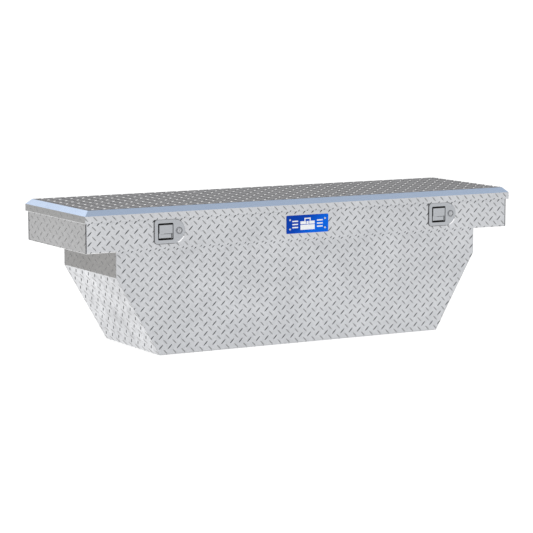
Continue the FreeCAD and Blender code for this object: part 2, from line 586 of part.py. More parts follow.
for side, sign in SIDES:
    dish = latch_part(side + "_latch_dish")
    dish_outline(dish, "dish_front", "dish_back", "0 mm")
    pad(dish, "XZ", "dish_back", "cup_back", [CUP_OUT])
    pad(dish, "XZ", "dish_back", "-band_y + sheet_t + 6 mm", [(x, z, "5 mm") for x, z in STUDS])
    pocket(dish, "XZ", "dish_front - 1 mm", "cup_back - cup_t", [CUP_IN])
    half_z = number("cup_h / 2") + 0.1
    mid_z = number("latch_z")
    soften(dish, 4, runs_along_y(number("dish_front"), number("cup_back - cup_t"), number("cup_w / 2") + 0.1,
                                 mid_z - half_z, mid_z + half_z))
    soften(dish, CORNER, runs_along_y(
        number("dish_front"), number("dish_back"), number("dish_left") + 0.1,
        mid_z - number("dish_h / 2") - 0.1, mid_z + number("dish_h / 2") + 0.1))
    soften(dish, 1, flat_at_y(number("dish_front")))
    pocket(dish, "XZ", "cup_back - cup_t - 1 mm", "cup_back + 1 mm", [
        box_loop("-6 mm", "6 mm", "latch_z + 9.5 mm", "latch_z + cup_h / 2")])
    pocket(dish, "XZ", "dish_front - 1 mm", "dish_back + 1 mm", [("lock_x", "lock_z", "19 mm")])
    pocket(dish, "YZ", "-cup_w / 2 - cup_t - 1 mm", "cup_w / 2 + cup_t + 1 mm", [
        ("paddle_y", "paddle_z", "paddle_pin_d")])
    keep(dish)

    gasket = latch_part(side + "_latch_gasket")
    dish_outline(gasket, "dish_back", "-band_y", "0.8 mm")
    soften(gasket, CORNER - 0.8, runs_along_y(
        number("dish_back"), number("-band_y"), number("dish_left") + 0.1,
        mid_z - number("dish_h / 2") - 0.1, mid_z + number("dish_h / 2") + 0.1))
    holes = [(x, z, "5 mm") for x, z in STUDS] + [("lock_x", "lock_z", "19 mm")]
    pocket(gasket, "XZ", "dish_back - 1 mm", "-band_y + 1 mm", [CUP_OUT] + holes)
    keep(gasket)

    pin = latch_part(side + "_paddle_pin")
    pad(pin, "YZ", "-cup_w / 2 - cup_t", "cup_w / 2 + cup_t", [("paddle_y", "paddle_z", "paddle_pin_d")])
    keep(pin)

    paddle = latch_part(side + "_paddle")
    face = "-band_y - 1.8 mm"
    back = face + " + paddle_t"
    pad(paddle, "XZ", face, back, [box_loop(
        "-cup_w / 2 + 3.5 mm", "cup_w / 2 - 2 mm", "latch_z - cup_h / 2 + 4.5 mm", "paddle_z + 5.5 mm")])
    soften(paddle, 3, lambda e: e.BoundBox.XLength < 1e-4 and e.BoundBox.ZLength < 1e-4)
    soften(paddle, 0.7, flat_at_y(number(face)))
    pad(paddle, "XZ", back, back + " + 6 mm", [box_loop(
        "-cup_w / 2 + 8 mm", "cup_w / 2 - 8 mm",
        "latch_z - cup_h / 2 + 4.5 mm", "latch_z - cup_h / 2 + 6.5 mm")])
    pad(paddle, "YZ", "-cup_w / 2 + 4 mm", "cup_w / 2 - 3 mm", [("paddle_y", "paddle_z", "11 mm")])
    reach = "paddle_y + tail_long * cos(tail_angle)"
    rise = "paddle_z + tail_long * sin(tail_angle)"
    across = "3 mm * sin(tail_angle)"
    along = "3 mm * cos(tail_angle)"
    pad(paddle, "YZ", "-4 mm", "4 mm", [[
        ("paddle_y + " + across, "paddle_z - " + along), (reach + " + " + across, rise + " - " + along),
        (reach + " - " + across, rise + " + " + along), ("paddle_y - " + across, "paddle_z + " + along)]])
    pocket(paddle, "YZ", "-cup_w / 2", "cup_w / 2", [("paddle_y", "paddle_z", "paddle_pin_d + 2 * running")])
    keep(paddle)

    bracket = latch_part(side + "_claw_bracket")
    base_y = "cup_back + sheet_t"
    pad(bracket, "XZ", "cup_back", base_y, [
        box_loop("-20 mm", "20 mm", "latch_z - 15 mm", "latch_z + 30 mm")])
    pocket(bracket, "XZ", "cup_back - 1 mm", base_y + " + 1 mm", [
        box_loop("-6 mm", "6 mm", "latch_z + 9.5 mm", "latch_z + 32 mm")])
    cheek = [
        ("cup_back + sheet_t / 2", "claw_z - 16 mm"), ("claw_y - 18 mm", "claw_z - 16 mm"),
        ("claw_y + 6 mm", "claw_z - 8 mm"), ("claw_y + 10 mm", "claw_z"), ("claw_y + 6 mm", "claw_z + 8 mm"),
        ("claw_y - 18 mm", "claw_z + 20 mm"), ("cup_back + sheet_t / 2", "claw_z + 20 mm")]
    for low, high in (("-14 mm", "-12.4 mm"), ("12.4 mm", "14 mm")):
        pad(bracket, "YZ", low, high, [cheek])
    pocket(bracket, "YZ", "-15 mm", "15 mm", [("claw_y", "claw_z", "claw_pin_d")])
    keep(bracket)

    pin = latch_part(side + "_claw_pin")
    pad(pin, "YZ", "-15.5 mm", "15.5 mm", [("claw_y", "claw_z", "claw_pin_d")])
    keep(pin)

    claw = latch_part(side + "_claw")
    pad(claw, "YZ", "-11.9 mm", "11.9 mm", [("claw_y", "claw_z", "14 mm")])
    lobe_y = "claw_y + lobe_reach * cos(lobe_angle)"
    lobe_z = "claw_z + lobe_reach * sin(lobe_angle)"
    wide_y = "2.8 mm * sin(lobe_angle)"
    wide_z = "2.8 mm * cos(lobe_angle)"
    pad(claw, "YZ", "-3 mm", "3 mm", [[
        ("claw_y + " + wide_y, "claw_z - " + wide_z), (lobe_y + " + " + wide_y, lobe_z + " - " + wide_z),
        (lobe_y + " - " + wide_y, lobe_z + " + " + wide_z), ("claw_y - " + wide_y, "claw_z + " + wide_z)]])
    pad(claw, "YZ", "-3 mm", "3 mm", [(lobe_y, lobe_z, "7.6 mm")])
    hook = [(-6, 0), (6, 0), (1, 24), (1, 32), (14, 32), (14, 35), (11, 37), (-5, 37), (-8, 33), (-8, 26)]
    pad(claw, "YZ", "-3 mm", "3 mm", [[
        ("claw_y + %g mm" % y, "claw_z + %g mm" % z) for y, z in hook]])
    pocket(claw, "YZ", "-12 mm", "12 mm", [("claw_y", "claw_z", "claw_pin_d + 2 * running")])
    keep(claw)

    housing = latch_part(side + "_lock_housing")
    pad(housing, "XZ", "dish_front - 2 mm", "dish_front", [("lock_x", "lock_z", "26 mm")])
    soften(housing, 1.2, flat_at_y(number("dish_front - 2 mm")))
    pad(housing, "XZ", "dish_front", "-band_y + 22 mm", [("lock_x", "lock_z", "19 mm")])
    pocket(housing, "XZ", "dish_front - 3 mm", "-band_y + 23 mm", [
        ("lock_x", "lock_z", "plug_d + 2 * running")])
    keep(housing)

    plug = latch_part(side + "_lock_plug")
    pad(plug, "XZ", "dish_front - 2.2 mm", "-band_y + 23 mm", [("lock_x", "lock_z", "plug_d")])
    soften(plug, 0.5, flat_at_y(number("dish_front - 2.2 mm")))
    pad(plug, "XZ", "-band_y + 23 mm", "-band_y + 25 mm", [
        box_loop("lock_x - cam_reach", "lock_x", "lock_z - 5 mm", "lock_z + 5 mm")])
    pad(plug, "XZ", "-band_y + 23 mm", "-band_y + 26.5 mm", [("lock_x", "lock_z", "12 mm")])
    pocket(plug, "XZ", "dish_front - 3 mm", "dish_front + 3 mm", [
        box_loop("lock_x - 0.7 mm", "lock_x + 0.7 mm", "lock_z - 3.8 mm", "lock_z + 3.8 mm")])
    keep(plug)

    striker = latch_part(side + "_striker")
    pad(striker, "YZ", "-striker_half - striker_d / 2", "striker_half + striker_d / 2", [
        ("striker_y", "striker_z", "striker_d")])
    pad(striker, "XY", "striker_z", "pan_z - 2 mm", [
        ("-striker_half", "striker_y", "striker_d"), ("striker_half", "striker_y", "striker_d")])
    pad(striker, "XY", "pan_z - 2 mm", "pan_z", [
        box_loop("-30 mm", "30 mm", "striker_y - 12 mm", "striker_y + 12 mm")])
    keep(striker)

nuts = new_body("latch_nuts")
hexagon = ((1, 0), (0.5, 0.866), (-0.5, 0.866), (-1, 0), (-0.5, -0.866), (0.5, -0.866))
loops = []
for middle in ("-paddle_x", "paddle_x"):
    for across, z in STUDS:
        x = middle + " + " + across
        loops.append([(x + " + %g mm" % (4.6 * a), z + " + %g mm" % (4.6 * b)) for a, b in hexagon])
        loops.append((x, z, "5 mm"))
    x = middle + " + lock_x"
    loops.append([(x + " + %g mm" % (13.8 * a), "lock_z + %g mm" % (13.8 * b)) for a, b in hexagon])
    loops.append((x, "lock_z", "19 mm"))
pad(nuts, "XZ", "-band_y + sheet_t", "-band_y + sheet_t + 4 mm", loops)
keep(nuts)

# ---------------------------------------------------------------- gas struts

for side, sign in SIDES:
    foot = new_body(side + "_strut_foot")
    flip = minus if sign else (lambda text: text)
    low, high = to_side(sign, "strut_x + 15 mm", "strut_x + 17 mm")
    pad(foot, "YZ", low, high, [[
        ("low_y - 18 mm", "ledge_z + sheet_t"), ("low_y + 18 mm", "ledge_z + sheet_t"),
        ("low_y + 10 mm", "low_z + 10 mm"), ("low_y - 10 mm", "low_z + 10 mm")]])
    low, high = to_side(sign, "strut_x + 15 mm", "strut_x + 35 mm")
    pad(foot, "XY", "ledge_z + sheet_t", "ledge_z + sheet_t + 2 mm", [
        box_loop(low, high, "low_y - 18 mm", "low_y + 18 mm")])
    low, high = to_side(sign, "strut_x - 6.4 mm", "strut_x + 15 mm")
    pad(foot, "YZ", low, high, [("low_y", "low_z", "stud_d")])
    low, high = to_side(sign, "strut_x - 8.4 mm", "strut_x - 6.4 mm")
    pad(foot, "YZ", low, high, [("low_y", "low_z", "stud_d + 3 mm")])
    keep(foot)

    hanger = new_body(side + "_strut_hanger")
    low, high = to_side(sign, "strut_x + 15 mm", "strut_x + 17 mm")
    pad(hanger, "YZ", low, high, [[
        ("top_y - 16 mm", "pan_z - 2 mm"), ("top_y - 9 mm", "top_z - 8 mm"),
        ("top_y + 9 mm", "top_z - 8 mm"), ("top_y + 16 mm", "pan_z - 2 mm")]])
    low, high = to_side(sign, "strut_x - 1 mm", "strut_x + 23 mm")
    pad(hanger, "XY", "pan_z - 2 mm", "pan_z", [box_loop(low, high, "top_y - 20 mm", "top_y + 20 mm")])
    low, high = to_side(sign, "strut_x + 6.5 mm", "strut_x + 15 mm")
    pad(hanger, "YZ", low, high, [("top_y", "top_z", "stud_d")])
    keep(hanger)

    tube = new_body(side + "_strut_cylinder")
    rod = new_body(side + "_strut_rod")
    for part in (tube, rod):
        bind(part, "Placement.Base.x", sign + "strut_x")
        bind(part, "Placement.Base.y", "low_y")
        bind(part, "Placement.Base.z", "low_z")
        part.Placement.Rotation = FreeCAD.Rotation(FreeCAD.Vector(1, 0, 0), number("strut_tilt"))
        bind(part, "Placement.Rotation.Angle", "strut_tilt")
    pad(tube, "YZ", "-6 mm", "6 mm", [("0 mm", "0 mm", "16 mm")])
    pad(tube, "XY", "5 mm", "17 mm", [("0 mm", "0 mm", "11 mm")])
    pad(tube, "XY", "16 mm", "tube_end", [("0 mm", "0 mm", "tube_d")])
    pocket(tube, "XY", "20 mm", "tube_end - 8 mm", [("0 mm", "0 mm", "tube_bore")])
    pocket(tube, "XY", "tube_end - 9 mm", "tube_end + 1 mm", [("0 mm", "0 mm", "rod_d + 2 * running")])
    pocket(tube, "YZ", "-7 mm", "7 mm", [("0 mm", "0 mm", "stud_d + 2 * running")])
    keep(tube)

    pad(rod, "XY", "piston_z", "piston_z + 10 mm", [("0 mm", "0 mm", "tube_bore - 2 * running")])
    pad(rod, "XY", "piston_z + 9 mm", "strut_rest - 4 mm", [("0 mm", "0 mm", "rod_d")])
    pad(rod, "YZ", "-6 mm", "6 mm", [("0 mm", "strut_rest", "13 mm")])
    keep(rod)

# ---------------------------------------------------------------- check everything, then write the parts

doc.removeObject("Probe")
doc.recompute()
for thing in doc.Objects:
    if "Invalid" in thing.State or "Error" in thing.State:
        raise RuntimeError("%s is not up to date: %s" % (thing.Label, thing.State))
for part in nodes:
    if part.Shape.isNull() or not part.Shape.isValid():
        raise RuntimeError("%s has no valid shape" % part.Label)
    if not part.Shape.Solids:
        raise RuntimeError("%s has no solid" % part.Label)

os.makedirs("parts", exist_ok=True)
for part in nodes:
    part.Shape.exportStep("parts/%s.step" % part.Label)
    box = part.Shape.BoundBox
    print("%-22s %2d solid(s) %10.1f mm3  x %.1f..%.1f y %.1f..%.1f z %.1f..%.1f" % (
        part.Label, len(part.Shape.Solids), part.Shape.Volume,
        box.XMin, box.XMax, box.YMin, box.YMax, box.ZMin, box.ZMax))
print("parts", len(nodes))
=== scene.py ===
import bpy
import bmesh
import json
import math
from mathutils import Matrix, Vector


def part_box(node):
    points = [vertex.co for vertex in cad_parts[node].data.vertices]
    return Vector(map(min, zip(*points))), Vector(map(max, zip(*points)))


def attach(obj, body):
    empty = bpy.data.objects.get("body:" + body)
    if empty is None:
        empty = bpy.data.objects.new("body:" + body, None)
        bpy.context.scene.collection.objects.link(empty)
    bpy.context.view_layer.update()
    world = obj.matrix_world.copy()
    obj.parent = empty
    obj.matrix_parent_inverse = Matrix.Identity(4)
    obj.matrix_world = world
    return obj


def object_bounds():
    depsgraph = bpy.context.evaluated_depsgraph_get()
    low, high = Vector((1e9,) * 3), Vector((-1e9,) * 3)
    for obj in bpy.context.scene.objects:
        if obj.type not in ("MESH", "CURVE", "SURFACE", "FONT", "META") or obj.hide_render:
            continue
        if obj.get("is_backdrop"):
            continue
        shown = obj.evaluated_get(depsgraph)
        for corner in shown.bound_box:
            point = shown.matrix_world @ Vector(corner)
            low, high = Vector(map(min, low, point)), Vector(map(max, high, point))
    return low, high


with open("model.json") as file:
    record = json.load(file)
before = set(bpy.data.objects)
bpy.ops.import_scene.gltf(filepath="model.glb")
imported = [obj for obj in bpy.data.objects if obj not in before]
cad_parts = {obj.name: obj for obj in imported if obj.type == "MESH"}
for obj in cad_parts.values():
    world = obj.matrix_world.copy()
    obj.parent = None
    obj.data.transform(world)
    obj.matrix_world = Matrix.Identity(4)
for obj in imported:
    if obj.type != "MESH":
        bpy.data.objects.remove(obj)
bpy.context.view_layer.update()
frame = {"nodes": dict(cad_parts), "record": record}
MM = 0.001
scene = bpy.context.scene
scene.view_settings.view_transform = "Standard"
X, Y, Z = Vector((1, 0, 0)), Vector((0, 1, 0)), Vector((0, 0, 1))

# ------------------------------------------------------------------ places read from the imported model

TOP_LOW, TOP_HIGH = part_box("lid_top_panel")
SKIRT_LOW, SKIRT_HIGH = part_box("lid_skirt_front")
LID_LOW = Vector((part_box("lid_skirt_left")[0].x, SKIRT_LOW.y, SKIRT_LOW.z))
LID_HIGH = Vector((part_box("lid_skirt_right")[1].x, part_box("lid_skirt_back")[1].y, TOP_HIGH.z))
BEVEL_Z = SKIRT_HIGH.z
BAND_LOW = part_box("upper_front_panel")[0]
BAND_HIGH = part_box("upper_back_panel")[1]
TUB_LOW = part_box("lower_front_panel")[0]
TUB_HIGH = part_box("lower_back_panel")[1]
LEDGE_Z = TUB_HIGH.z
DISH_LOW, DISH_HIGH = {}, {}
for side in ("left", "right"):
    DISH_LOW[side], DISH_HIGH[side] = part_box(side + "_latch_dish")
BADGE_LOW, BADGE_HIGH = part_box("badge_plate")
LEAF_LOW, LEAF_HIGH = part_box("hinge_body_leaf")


def end_profile():
    """Where the end panel bends and where it meets the floor, from its outermost vertices."""
    points = [v.co for v in frame["nodes"]["left_end_panel"].data.vertices]
    knee = min(p.z for p in points if p.x < TUB_LOW.x + 0.2 * MM)
    foot = -min(p.x for p in points if p.z < 0.2 * MM)
    return knee, foot


KNEE_Z, FLOOR_X = end_profile()

# ------------------------------------------------------------------ materials

def new_material(name):
    made = bpy.data.materials.new(name)
    made.use_nodes = True
    tree = made.node_tree
    return made, tree, tree.nodes["Principled BSDF"]


def scaled_coords(tree, scale):
    coords = tree.nodes.new("ShaderNodeTexCoord")
    mapping = tree.nodes.new("ShaderNodeMapping")
    mapping.inputs["Scale"].default_value = scale
    tree.links.new(coords.outputs["Object"], mapping.inputs["Vector"])
    return mapping.outputs["Vector"]


def noise(tree, scale, detail=4.0, stretch=(1, 1, 1), rough=0.55):
    made = tree.nodes.new("ShaderNodeTexNoise")
    made.inputs["Scale"].default_value = scale
    made.inputs["Detail"].default_value = detail
    made.inputs["Roughness"].default_value = rough
    tree.links.new(scaled_coords(tree, stretch), made.inputs["Vector"])
    return made.outputs["Fac"]


def ramp(tree, fac, stops):
    made = tree.nodes.new("ShaderNodeValToRGB")
    tree.links.new(fac, made.inputs["Fac"])
    points = made.color_ramp.elements
    while len(points) < len(stops):
        points.new(0.5)
    for point, (place, colour) in zip(points, stops):
        point.position = place
        point.color = (*colour, 1) if len(colour) == 3 else (colour[0], colour[0], colour[0], 1)
    return made.outputs["Color"]


def spread(tree, fac, low, high):
    made = tree.nodes.new("ShaderNodeMapRange")
    made.inputs["From Min"].default_value = 0.3
    made.inputs["From Max"].default_value = 0.7
    made.inputs["To Min"].default_value = low
    made.inputs["To Max"].default_value = high
    tree.links.new(fac, made.inputs["Value"])
    return made.outputs["Result"]


def mix(tree, fac, one, two, mode="MIX"):
    made = tree.nodes.new("ShaderNodeMix")
    made.data_type = "RGBA"
    made.blend_type = mode
    if isinstance(fac, float):
        made.inputs["Factor"].default_value = fac
    else:
        tree.links.new(fac, made.inputs["Factor"])
    tree.links.new(one, made.inputs["A"])
    tree.links.new(two, made.inputs["B"])
    return made.outputs["Result"]


def bump(tree, height, strength, distance, after=None):
    made = tree.nodes.new("ShaderNodeBump")
    made.inputs["Strength"].default_value = strength
    made.inputs["Distance"].default_value = distance
    tree.links.new(height, made.inputs["Height"])
    if after is not None:
        tree.links.new(after, made.inputs["Normal"])
    return made.outputs["Normal"]


def metal(name, colour, dark, rough, rough_span, grain=(1, 1, 1), grain_scale=60.0,
          grain_depth=0.00002, cloud=3.0):
    """Sheet or bar metal: cloudy colour, uneven gloss and a fine directional grain."""
    made, tree, bsdf = new_material(name)
    bsdf.inputs["Metallic"].default_value = 1.0
    clouds = noise(tree, cloud, 5.0)
    streaks = noise(tree, grain_scale, 3.0, grain)
    tone = mix(tree, 0.5, clouds, streaks)
    tree.links.new(ramp(tree, tone, [(0.3, dark), (0.7, colour)]), bsdf.inputs["Base Color"])
    tree.links.new(spread(tree, tone, rough + rough_span, rough), bsdf.inputs["Roughness"])
    tree.links.new(bump(tree, streaks, 0.35, grain_depth), bsdf.inputs["Normal"])
    return made


def plain(name, colour, dark, rough, scale=40.0, depth=0.0001, coat=0.0, metallic=0.0):
    """Rubber, paint or plastic with a fine uneven surface."""
    made, tree, bsdf = new_material(name)
    bsdf.inputs["Metallic"].default_value = metallic
    bsdf.inputs["Coat Weight"].default_value = coat
    bsdf.inputs["Coat Roughness"].default_value = 0.08
    fine = noise(tree, scale * 12, 3.0)
    broad = noise(tree, scale, 4.0)
    tree.links.new(ramp(tree, broad, [(0.35, dark), (0.65, colour)]), bsdf.inputs["Base Color"])
    tree.links.new(spread(tree, broad, rough + 0.08, rough), bsdf.inputs["Roughness"])
    tree.links.new(bump(tree, fine, 0.3, depth), bsdf.inputs["Normal"])
    return made


TREAD = metal("tread_sheet", (0.615, 0.625, 0.645), (0.505, 0.515, 0.535),
              0.26, 0.10, (1, 1, 1), 90.0, 0.00003, 5.0)
# Darker copy of the tread sheet for the wing ends: painted shade on the same plate as the front.
END_SHADE_SHEET = metal("end_sheet_painted_shade", (0.47, 0.47, 0.475), (0.41, 0.41, 0.41), 0.29, 0.09, (1, 1, 1), 90.0)
# Darker copy of the tread sheet for the riser under the wing: painted shade.
RISER_SHADE_SHEET = metal("riser_sheet_painted_shade", (0.35, 0.345, 0.34), (0.29, 0.285, 0.28), 0.34, 0.09, (1, 1, 1), 90.0)
# Brighter copy of the tread sheet for the sloped ends: painted light.
SLOPE_LIT_SHEET = metal("slope_sheet_painted_light", (0.80, 0.81, 0.83), (0.50, 0.505, 0.52),
              0.22, 0.16, (1, 1, 1), 30.0, 0.00003, 7.0)
# Copy of the tread sheet with a deeper, more contrasting tone for the lid top: painted shade.
LID_SHADE_SHEET = metal("lid_sheet_painted_shade", (0.70, 0.70, 0.72), (0.34, 0.34, 0.36), 0.22, 0.12, (1, 1, 1), 50.0, 0.00002, 5.0)
MILL = metal("mill_sheet", (0.66, 0.67, 0.68), (0.56, 0.57, 0.58), 0.30, 0.14, (0.05, 1, 1), 260.0)
BEVEL = metal("bevel_strip", (0.62, 0.755, 0.97), (0.55, 0.68, 0.91),
              0.14, 0.08, (1, 1, 1), 120.0, 0.00001, 8.0)
STEEL = metal("stainless_brushed", (0.46, 0.475, 0.50), (0.38, 0.395, 0.415),
              0.24, 0.10, (0.02, 1, 1), 1400.0)
RING = metal("lock_ring", (0.40, 0.41, 0.43), (0.30, 0.31, 0.33), 0.16, 0.10, (1, 1, 1), 600.0)
HINGE = metal("hinge_steel", (0.60, 0.60, 0.61), (0.46, 0.46, 0.47), 0.28, 0.14, (0.02, 1, 1), 900.0)
ZINC = metal("zinc_plate", (0.62, 0.61, 0.56), (0.50, 0.50, 0.50), 0.30, 0.12, (1, 1, 1), 160.0)
CHROME = metal("lock_chrome", (0.80, 0.80, 0.82), (0.72, 0.72, 0.74),
               0.08, 0.06, (1, 1, 1), 500.0, 0.000004)
# Near-white copy of the sheet for the lid's end hems and the wing edges: painted highlight along those edges.
HEM_HIGHLIGHT = metal("hem_painted_highlight", (0.96, 0.96, 0.97), (0.55, 0.55, 0.56), 0.20, 0.10, (1, 1, 1), 60.0)
WELD = metal("weld_bead", (0.66, 0.67, 0.69), (0.42, 0.42, 0.43), 0.30, 0.15, (1, 1, 1), 700.0, 0.00006)
# Near-black bead in the gap at each wing corner: painted shadow.
SEAM_SHADOW = metal("seam_painted_shadow", (0.11, 0.11, 0.12), (0.06, 0.06, 0.065), 0.40, 0.15, (1, 1, 1), 400.0, 0.00005)
RUBBER = plain("seal_rubber", (0.035, 0.035, 0.036), (0.02, 0.02, 0.021), 0.62)
# Dark grey rubber for the latch gaskets; on the added rim and left-hand trim round each latch plate the same
# grey is painted shadow along the plate's edge.
GASKET_AND_SHADOW_GREY = plain("gasket_lip_and_painted_shadow", (0.16, 0.16, 0.165), (0.09, 0.09, 0.095), 0.5)
PAINT = plain("strut_paint", (0.025, 0.025, 0.027), (0.012, 0.012, 0.013), 0.28, 25.0, 0.00005, 0.4)
WHITE = plain("badge_white", (0.86, 0.87, 0.88), (0.80, 0.81, 0.83), 0.30, 60.0, 0.00002, 0.3)


def badge_blue():
    """Deep blue at the left running to a brighter blue at the lower right, under a clear coat."""
    made, tree, bsdf = new_material("badge_blue")
    coords = tree.nodes.new("ShaderNodeTexCoord")
    split = tree.nodes.new("ShaderNodeSeparateXYZ")
    tree.links.new(coords.outputs["Object"], split.inputs["Vector"])
    across = tree.nodes.new("ShaderNodeMapRange")
    across.inputs["From Min"].default_value = BADGE_LOW.x
    across.inputs["From Max"].default_value = BADGE_HIGH.x
    tree.links.new(split.outputs["X"], across.inputs["Value"])
    down = tree.nodes.new("ShaderNodeMapRange")
    down.inputs["From Min"].default_value = BADGE_HIGH.z
    down.inputs["From Max"].default_value = BADGE_LOW.z
    tree.links.new(split.outputs["Z"], down.inputs["Value"])
    both = tree.nodes.new("ShaderNodeMath")
    both.operation = "MULTIPLY_ADD"
    tree.links.new(down.outputs["Result"], both.inputs[0])
    both.inputs[1].default_value = 0.45
    tree.links.new(across.outputs["Result"], both.inputs[2])
    shade = ramp(tree, both.outputs[0], [
        (0.0, (0.0, 0.040, 0.37)), (0.55, (0.0, 0.050, 0.42)), (1.0, (0.0, 0.125, 0.72))])
    tree.links.new(shade, bsdf.inputs["Base Color"])
    bsdf.inputs["Roughness"].default_value = 0.55
    bsdf.inputs["Specular IOR Level"].default_value = 0.06
    tree.links.new(bump(tree, noise(tree, 900.0, 2.0), 0.2, 0.00001), bsdf.inputs["Normal"])
    return made


def bar_metal_painted_shading(name, foot, crown, rough, metallic=1.0):
    """Raised bar with painted shading: painted shade where it meets the sheet and painted light on its crown,
    by each vertex's crown value, with uneven wear from a noise.
    """
    made, tree, bsdf = new_material(name)
    shade = tree.nodes.new("ShaderNodeAttribute")
    shade.attribute_name = "crown"
    wear = noise(tree, 220.0, 3.0)
    both = tree.nodes.new("ShaderNodeMath")
    both.operation = "MULTIPLY_ADD"
    tree.links.new(wear, both.inputs[0])
    both.inputs[1].default_value = 0.5
    tree.links.new(shade.outputs["Fac"], both.inputs[2])
    tone = ramp(tree, both.outputs[0], [(0.25, foot), (0.8, crown)])
    tree.links.new(tone, bsdf.inputs["Base Color"])
    bsdf.inputs["Metallic"].default_value = metallic
    tree.links.new(spread(tree, wear, rough + 0.1, rough), bsdf.inputs["Roughness"])
    tree.links.new(bump(tree, wear, 0.3, 0.00004), bsdf.inputs["Normal"])
    return made


# The bar copies differ in painted shade and painted highlight: dark copies where a bar's flanks face away
# from the light, a near-white copy for the lid bars that catch it.
BAR_DEEP_SHADE = bar_metal_painted_shading("bar_painted_deep_shade", (0.02, 0.02, 0.025), (0.13, 0.135, 0.14), 0.30)
BAR_SOFT_SHADE = bar_metal_painted_shading("bar_painted_soft_shade", (0.09, 0.09, 0.095), (0.31, 0.315, 0.32), 0.30)
BAR_DIM_SHADE = bar_metal_painted_shading("bar_painted_dim_shade", (0.15, 0.15, 0.15), (0.29, 0.29, 0.29), 0.34)
BAR_FAINT_SHADE = bar_metal_painted_shading("bar_painted_faint_shade", (0.30, 0.30, 0.30), (0.48, 0.48, 0.48), 0.32)
# Darker copy of the tread sheet for the lid's end skirts: painted shade.
SKIRT_SHADE_SHEET = metal("skirt_sheet_painted_shade", (0.37, 0.37, 0.37), (0.31, 0.31, 0.305), 0.29, 0.09, (1, 1, 1), 90.0)
BAR_HIGHLIGHT = bar_metal_painted_shading("bar_painted_highlight", (0.62, 0.62, 0.62), (0.96, 0.96, 0.96), 0.30, 0.25)
BAR_LID_SHADE = bar_metal_painted_shading("bar_lid_painted_shade", (0.10, 0.10, 0.105), (0.27, 0.27, 0.28), 0.30)
BLUE = badge_blue()
SLOTS = {
    "tread_plate": TREAD, "lid_tread_plate": TREAD, "bevel_strip": BEVEL, "mill_sheet": MILL,
    "stainless": STEEL, "zinc_steel": ZINC, "lock_chrome": CHROME, "badge_blue": BLUE,
    "seal_rubber": RUBBER, "strut_black": PAINT, "strut_rod_chrome": CHROME,
}
for part in frame["record"]["subparts"]:
    node = frame["nodes"][part["node"]]
    chosen = SLOTS[part["material_slot"]]
    if part["node"].startswith("hinge"):
        chosen = HINGE
    # The wing ends take the darker copy of the sheet: painted shade.
    if part["node"] in ("left_wing_end", "right_wing_end"):
        chosen = END_SHADE_SHEET
    # The lid's end skirts take the darker copy of the sheet: painted shade.
    if part["node"] in ("lid_skirt_left", "lid_skirt_right"):
        chosen = SKIRT_SHADE_SHEET
    # The lid top takes its darker-toned copy of the sheet: painted shade.
    if part["node"] == "lid_top_panel":
        chosen = LID_SHADE_SHEET
    if part["node"].endswith("_latch_gasket"):
        chosen = GASKET_AND_SHADOW_GREY
    if part["node"].endswith("_lock_housing"):
        chosen = RING
    node.data.materials.clear()
    node.data.materials.append(chosen)

# End panels: the upright riser faces take the darker copy (painted shade), the slope faces the brighter copy
# (painted light), the inner faces the mill sheet.
ON_SLOPE, ON_RISER, ON_INSIDE = 0, 1, 2
for side in ("left", "right"):
    mesh = frame["nodes"][side + "_end_panel"].data
    mesh.materials.clear()
    for look in (SLOPE_LIT_SHEET, RISER_SHADE_SHEET, MILL):
        mesh.materials.append(look)
    for face in mesh.polygons:
        out = face.normal.x if side == "right" else -face.normal.x
        upright = out > 0.98
        if out < 0.1:
            face.material_index = ON_INSIDE
        else:
            face.material_index = ON_RISER if upright else ON_SLOPE

# ------------------------------------------------------------------ helpers for new pieces

def piece(name, verts, faces, material, body, smooth=60):
    mesh = bpy.data.meshes.new(name)
    mesh.from_pydata([tuple(v) for v in verts], [], faces)
    mesh.materials.append(material)
    return finish_piece(name, mesh, body, smooth)


def finish_piece(name, mesh, body, smooth=60):
    mesh.update()
    if smooth:
        mesh.polygons.foreach_set("use_smooth", [True] * len(mesh.polygons))
        mesh.set_sharp_from_angle(angle=math.radians(smooth))
    made = bpy.data.objects.new(name, mesh)
    scene.collection.objects.link(made)
    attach(made, body)
    return made


# ------------------------------------------------------------------ tread bars on every outer face

PITCH = (35.84 * MM, 35.13 * MM)
END_PITCH = (52.7 * MM, 35.13 * MM)
SLOPE_PITCH = (52.7 * MM, 40.7 * MM)
LID_PITCH = (45.7 * MM, 53.1 * MM)
BAR_LONG = 25.5 * MM
BAR_WIDE = 5.0 * MM
BAR_HIGH = 1.1 * MM
SINK = 0.15 * MM
SHORTER = 0.08  # how much shorter the second row's bars are
PHASE = (0.77, 0.8)
END_PHASE = 0.45


def bar_template():
    """One raised bar along the first axis: a lens outline, a domed top and a base just under the face."""
    half = BAR_LONG / 2
    verts = [(-half, 0, -SINK), (half, 0, -SINK)]
    rows = []
    for t in (-0.66, 0.0, 0.66):
        w = BAR_WIDE / 2 * (1 - t * t) ** 0.6
        h = BAR_HIGH * (1 - 0.25 * t * t)
        rows.append(len(verts))
        verts += [(t * half, -w, -SINK), (t * half, -0.5 * w, 0.85 * h), (t * half, 0, h),
                  (t * half, 0.5 * w, 0.85 * h), (t * half, w, -SINK)]
    faces = []
    for a, b in zip(rows, rows[1:]):
        for i in range(4):
            faces.append((a + i, b + i, b + i + 1, a + i + 1))
    for i in range(4):
        faces.append((0, rows[0] + i, rows[0] + i + 1))
        faces.append((1, rows[2] + i + 1, rows[2] + i))
    faces.append((0, rows[0] + 4, rows[1] + 4, rows[2] + 4, 1, rows[2], rows[1], rows[0]))
    return verts, faces


BAR_VERTS, BAR_FACES = bar_template()


